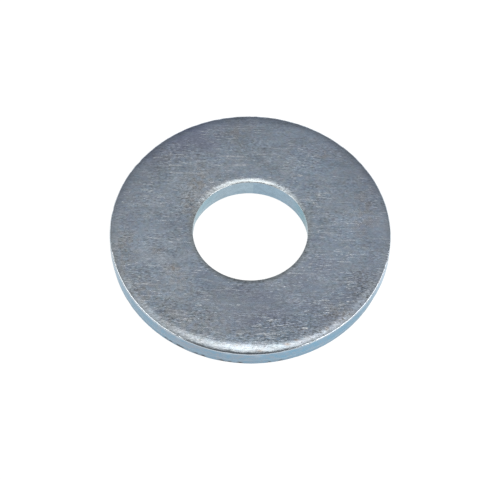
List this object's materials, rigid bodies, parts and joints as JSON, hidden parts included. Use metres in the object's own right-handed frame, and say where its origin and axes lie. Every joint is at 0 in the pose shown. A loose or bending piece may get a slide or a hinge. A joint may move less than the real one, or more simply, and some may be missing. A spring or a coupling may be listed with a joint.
{
  "type": "flat washer",
  "caption": "Plain flat steel washer, wide series: a stamped disc with a central bolt hole, rolled top rims and zinc plating.",
  "frame": {"origin": "on the washer's axis, in the plane of its bottom face, which it lies on", "axes": "+Z along the washer's axis, out of the face with the rolled rims; X and Y across the face"},
  "size_m": [0.035, 0.035, 0.0028],
  "materials": {
    "zinc_plated_steel": "satin blue-grey zinc plating with fine straight scratches, faint stains and brighter rolled rims"
  },
  "bodies": {
    "root": {"flat_washer": "zinc_plated_steel"}
  },
  "joints": []
}
